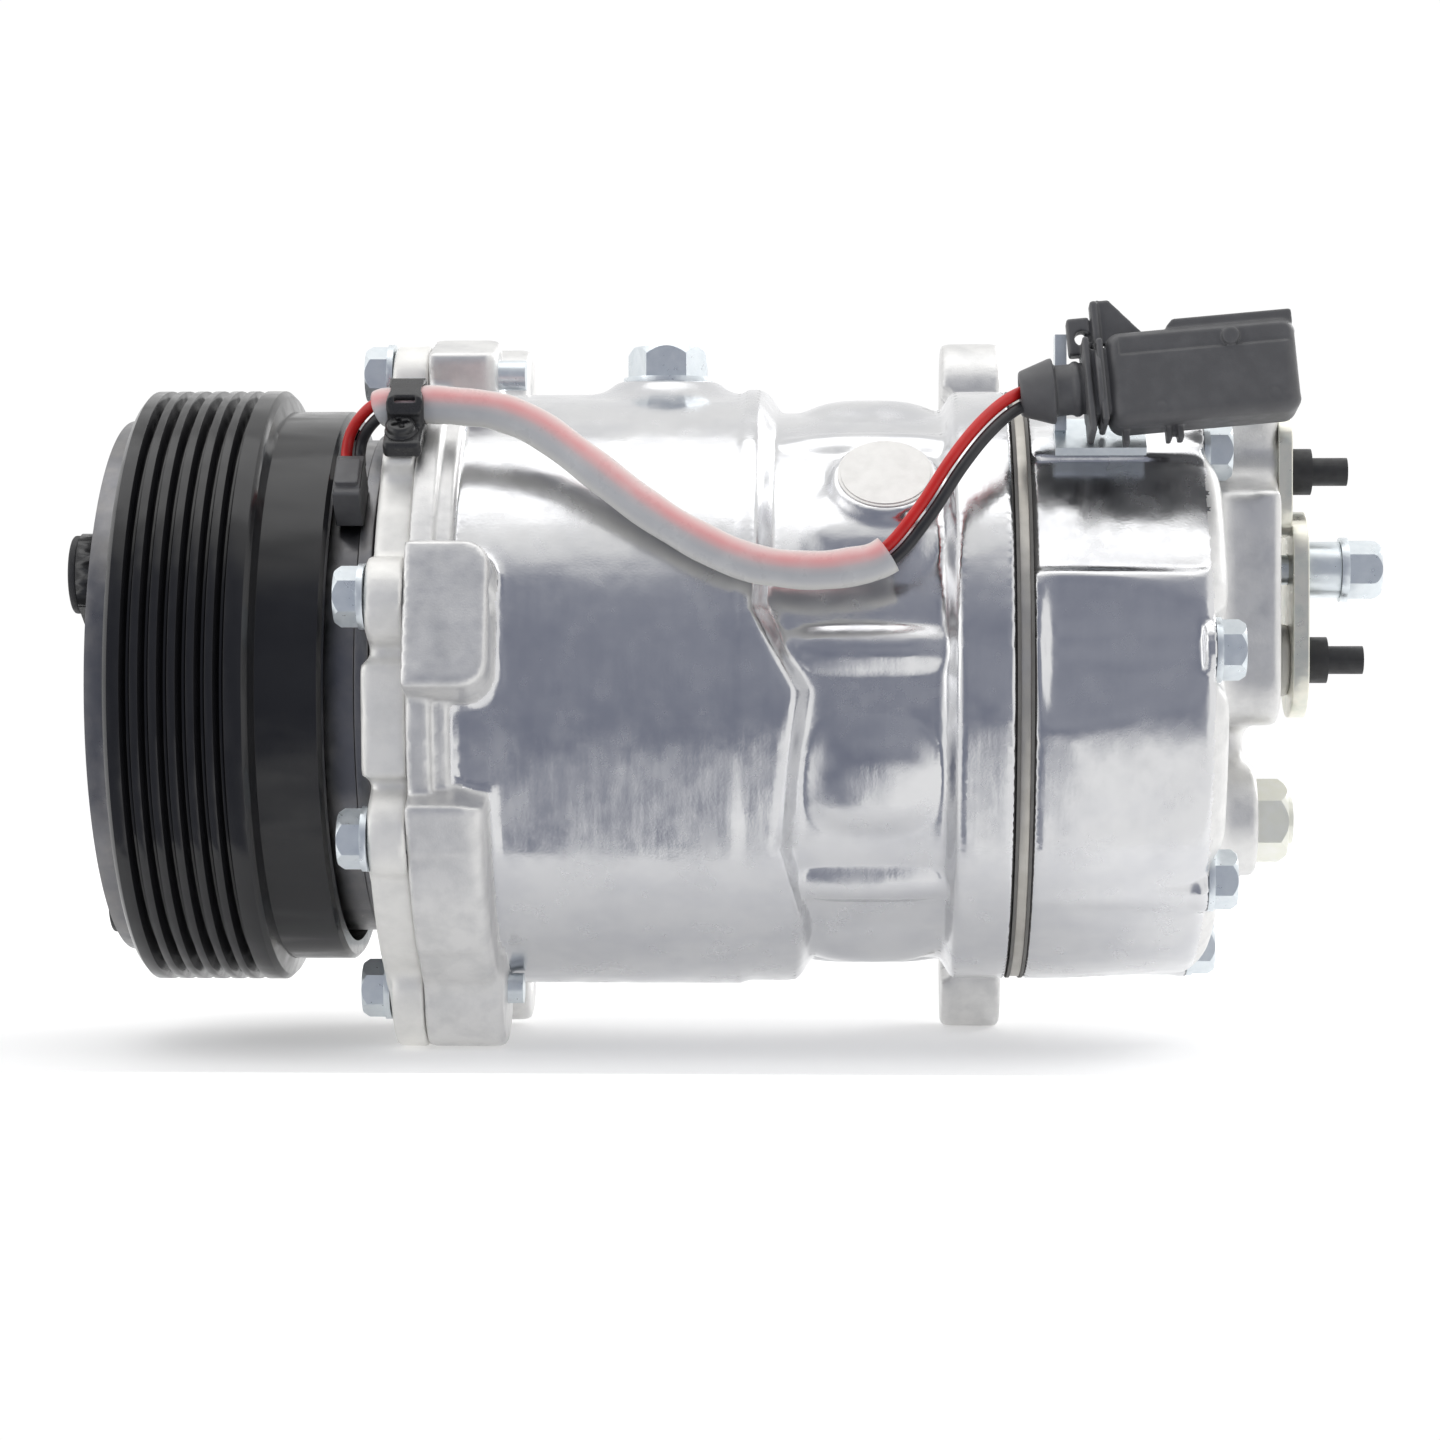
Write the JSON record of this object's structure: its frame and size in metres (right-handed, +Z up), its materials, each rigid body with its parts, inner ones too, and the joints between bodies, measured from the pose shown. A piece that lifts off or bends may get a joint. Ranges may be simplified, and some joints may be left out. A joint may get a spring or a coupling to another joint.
{
  "type": "automotive air-conditioning compressor",
  "caption": "Wobble-plate refrigerant compressor for a car: cast aluminium body, ribbed belt pulley with magnetic clutch, plugged rear ports and mounting ears.",
  "frame": {"origin": "on the shaft's axis, in the joint plane between front housing and crankcase", "axes": "+X along the shaft from the pulley to the rear head, +Z up, -Y towards the side with the wires"},
  "size_m": [0.2617, 0.1422, 0.1463],
  "materials": {
    "pulley": "gloss black coating",
    "bearing_steel": "ground",
    "clutch_hub": "satin black coating",
    "damper_rubber": "matt",
    "bolt_zinc": "bright zinc plating",
    "armature_plate": "ground",
    "coil_shell": "satin",
    "coil_winding": "potting resin",
    "coil_terminal": "moulded",
    "front_housing": "matt die casting",
    "crankcase": "satin die casting",
    "rear_head": "satin die casting",
    "seal_rubber": "oiled",
    "shaft_steel": "ground",
    "drive_iron": "machined",
    "wobble_plate": "machined",
    "ball_seat": "sintered",
    "piston_rod": "polished",
    "piston": "machined",
    "valve_plate": "phosphated edge",
    "gasket": "coated fibre",
    "valve_brass": "plated",
    "round_pad": "painted",
    "zinc_yellow": "yellow zinc plating",
    "plug_rubber": "matt",
    "wire_clip": "black coating",
    "wire_insulation": "smooth",
    "wire_sleeve": "milky",
    "connector": "moulded",
    "boot": "matt",
    "bracket": "zinc plating"
  },
  "bodies": {
    "housing": {"front_housing": "front_housing", "front_housing_bolts": "bolt_zinc", "crankcase": "crankcase", "mount_ears": "crankcase", "shaft_seal": "seal_rubber", "shaft_bearings": "bearing_steel", "valve_plate": "valve_plate", "valve_gaskets": "gasket", "rear_head": "rear_head", "rear_head_bolts": "bolt_zinc", "control_valve": "shaft_steel", "relief_valve": "valve_brass", "filler_plug": "bolt_zinc", "round_pad": "round_pad", "port_covers": "zinc_yellow", "port_plugs": "plug_rubber", "cover_screw": "bolt_zinc", "wire_clip": "wire_clip", "coil_wires": "wire_insulation", "wire_sleeve": "wire_sleeve", "connector_housing": "connector", "connector_boot": "boot", "connector_bracket": "bracket", "clutch_coil": "coil_shell", "coil_winding": "coil_winding", "coil_terminal": "coil_terminal", "pulley_bearing_inner": "bearing_steel"},
    "pulley": {"pulley": "pulley", "pulley_bearing_outer": "bearing_steel"},
    "shaft": {"drive_shaft": "shaft_steel", "lug_plate": "drive_iron", "shaft_sleeve": "shaft_steel", "swash_rotor": "drive_iron", "thrust_bearings": "bearing_steel", "clutch_hub": "clutch_hub", "hub_dampers": "damper_rubber", "hub_nut": "bolt_zinc"},
    "armature": {"armature_plate": "armature_plate"},
    "wobble": {"wobble_plate": "wobble_plate"},
    "seat_1": {"ball_seat_1": "ball_seat"},
    "rod_1": {"piston_rod_1": "piston_rod"},
    "piston_1": {"piston_1": "piston"},
    "seat_2": {"ball_seat_2": "ball_seat"},
    "rod_2": {"piston_rod_2": "piston_rod"},
    "piston_2": {"piston_2": "piston"},
    "seat_3": {"ball_seat_3": "ball_seat"},
    "rod_3": {"piston_rod_3": "piston_rod"},
    "piston_3": {"piston_3": "piston"},
    "seat_4": {"ball_seat_4": "ball_seat"},
    "rod_4": {"piston_rod_4": "piston_rod"},
    "piston_4": {"piston_4": "piston"},
    "seat_5": {"ball_seat_5": "ball_seat"},
    "rod_5": {"piston_rod_5": "piston_rod"},
    "piston_5": {"piston_5": "piston"},
    "seat_6": {"ball_seat_6": "ball_seat"},
    "rod_6": {"piston_rod_6": "piston_rod"},
    "piston_6": {"piston_6": "piston"},
    "seat_7": {"ball_seat_7": "ball_seat"},
    "rod_7": {"piston_rod_7": "piston_rod"},
    "piston_7": {"piston_7": "piston"}
  },
  "joints": [
    {"name": "pulley_spin", "type": "hinge", "parent": "housing", "child": "pulley", "pos_m": [0, 0, 0], "axis": [1, 0, 0], "continuous": true},
    {"name": "shaft_spin", "type": "hinge", "parent": "housing", "child": "shaft", "pos_m": [0, 0, 0], "axis": [1, 0, 0], "continuous": true},
    {"name": "armature_slide", "type": "slide", "parent": "shaft", "child": "armature", "axis": [1, 0, 0], "range_m": [0, 0.00045], "stiffness_N_per_m": 20000},
    {"name": "wobble_turn", "type": "hinge", "parent": "shaft", "child": "wobble", "pos_m": [0.0355, 0, 0], "axis": [0.9063, 0, -0.4226], "continuous": true},
    {"name": "seat_1_turn", "type": "hinge", "parent": "wobble", "child": "seat_1", "pos_m": [0.04472, -0.03386, 0.01978], "axis": [0.9063, 0, -0.4226], "continuous": true},
    {"name": "rod_1_turn", "type": "hinge", "parent": "seat_1", "child": "rod_1", "pos_m": [0.04472, -0.03386, 0.01978], "axis": [1, 0, 0], "continuous": true},
    {"name": "piston_1_turn", "type": "hinge", "parent": "rod_1", "child": "piston_1", "pos_m": [0.09712, -0.03228, 0.0208], "axis": [1, 0, 0], "continuous": true},
    {"name": "seat_2_turn", "type": "hinge", "parent": "wobble", "child": "seat_2", "pos_m": [0.05244, -0.00405, 0.03633], "axis": [0.9063, 0, -0.4226], "continuous": true},
    {"name": "rod_2_turn", "type": "hinge", "parent": "seat_2", "child": "rod_2", "pos_m": [0.05244, -0.00405, 0.03633], "axis": [1, 0, 0], "continuous": true},
    {"name": "piston_2_turn", "type": "hinge", "parent": "rod_2", "child": "piston_2", "pos_m": [0.10484, -0.00386, 0.03821], "axis": [1, 0, 0], "continuous": true},
    {"name": "seat_3_turn", "type": "hinge", "parent": "wobble", "child": "seat_3", "pos_m": [0.0474, 0.02881, 0.02552], "axis": [0.9063, 0, -0.4226], "continuous": true},
    {"name": "rod_3_turn", "type": "hinge", "parent": "seat_3", "child": "rod_3", "pos_m": [0.0474, 0.02881, 0.02552], "axis": [1, 0, 0], "continuous": true},
    {"name": "piston_3_turn", "type": "hinge", "parent": "rod_3", "child": "piston_3", "pos_m": [0.0998, 0.02746, 0.02684], "axis": [1, 0, 0], "continuous": true},
    {"name": "seat_4_turn", "type": "hinge", "parent": "wobble", "child": "seat_4", "pos_m": [0.0334, 0.03998, -0.0045], "axis": [0.9063, 0, -0.4226], "continuous": true},
    {"name": "rod_4_turn", "type": "hinge", "parent": "seat_4", "child": "rod_4", "pos_m": [0.0334, 0.03998, -0.0045], "axis": [1, 0, 0], "continuous": true},
    {"name": "piston_4_turn", "type": "hinge", "parent": "rod_4", "child": "piston_4", "pos_m": [0.0858, 0.03811, -0.00474], "axis": [1, 0, 0], "continuous": true},
    {"name": "seat_5_turn", "type": "hinge", "parent": "wobble", "child": "seat_5", "pos_m": [0.02098, 0.02104, -0.03114], "axis": [0.9063, 0, -0.4226], "continuous": true},
    {"name": "rod_5_turn", "type": "hinge", "parent": "seat_5", "child": "rod_5", "pos_m": [0.02098, 0.02104, -0.03114], "axis": [1, 0, 0], "continuous": true},
    {"name": "piston_5_turn", "type": "hinge", "parent": "rod_5", "child": "piston_5", "pos_m": [0.07338, 0.02006, -0.03275], "axis": [1, 0, 0], "continuous": true},
    {"name": "seat_6_turn", "type": "hinge", "parent": "wobble", "child": "seat_6", "pos_m": [0.01949, -0.01374, -0.03432], "axis": [0.9063, 0, -0.4226], "continuous": true},
    {"name": "rod_6_turn", "type": "hinge", "parent": "seat_6", "child": "rod_6", "pos_m": [0.01949, -0.01374, -0.03432], "axis": [1, 0, 0], "continuous": true},
    {"name": "piston_6_turn", "type": "hinge", "parent": "rod_6", "child": "piston_6", "pos_m": [0.07189, -0.0131, -0.0361], "axis": [1, 0, 0], "continuous": true},
    {"name": "seat_7_turn", "type": "hinge", "parent": "wobble", "child": "seat_7", "pos_m": [0.03006, -0.03818, -0.01166], "axis": [0.9063, 0, -0.4226], "continuous": true},
    {"name": "rod_7_turn", "type": "hinge", "parent": "seat_7", "child": "rod_7", "pos_m": [0.03006, -0.03818, -0.01166], "axis": [1, 0, 0], "continuous": true},
    {"name": "piston_7_turn", "type": "hinge", "parent": "rod_7", "child": "piston_7", "pos_m": [0.08246, -0.03639, -0.01227], "axis": [1, 0, 0], "continuous": true}
  ],
  "couplings": [
    {"joint": "wobble_turn", "follows": "shaft_spin", "ratio": -1},
    {"joint": "seat_1_turn", "follows": "shaft_spin", "ratio": 1},
    {"joint": "rod_1_turn", "follows": "shaft_spin", "ratio": 1},
    {"joint": "piston_1_turn", "follows": "shaft_spin", "ratio": -2},
    {"joint": "seat_2_turn", "follows": "shaft_spin", "ratio": 1},
    {"joint": "rod_2_turn", "follows": "shaft_spin", "ratio": 1},
    {"joint": "piston_2_turn", "follows": "shaft_spin", "ratio": -2},
    {"joint": "seat_3_turn", "follows": "shaft_spin", "ratio": 1},
    {"joint": "rod_3_turn", "follows": "shaft_spin", "ratio": 1},
    {"joint": "piston_3_turn", "follows": "shaft_spin", "ratio": -2},
    {"joint": "seat_4_turn", "follows": "shaft_spin", "ratio": 1},
    {"joint": "rod_4_turn", "follows": "shaft_spin", "ratio": 1},
    {"joint": "piston_4_turn", "follows": "shaft_spin", "ratio": -2},
    {"joint": "seat_5_turn", "follows": "shaft_spin", "ratio": 1},
    {"joint": "rod_5_turn", "follows": "shaft_spin", "ratio": 1},
    {"joint": "piston_5_turn", "follows": "shaft_spin", "ratio": -2},
    {"joint": "seat_6_turn", "follows": "shaft_spin", "ratio": 1},
    {"joint": "rod_6_turn", "follows": "shaft_spin", "ratio": 1},
    {"joint": "piston_6_turn", "follows": "shaft_spin", "ratio": -2},
    {"joint": "seat_7_turn", "follows": "shaft_spin", "ratio": 1},
    {"joint": "rod_7_turn", "follows": "shaft_spin", "ratio": 1},
    {"joint": "piston_7_turn", "follows": "shaft_spin", "ratio": -2}
  ]
}
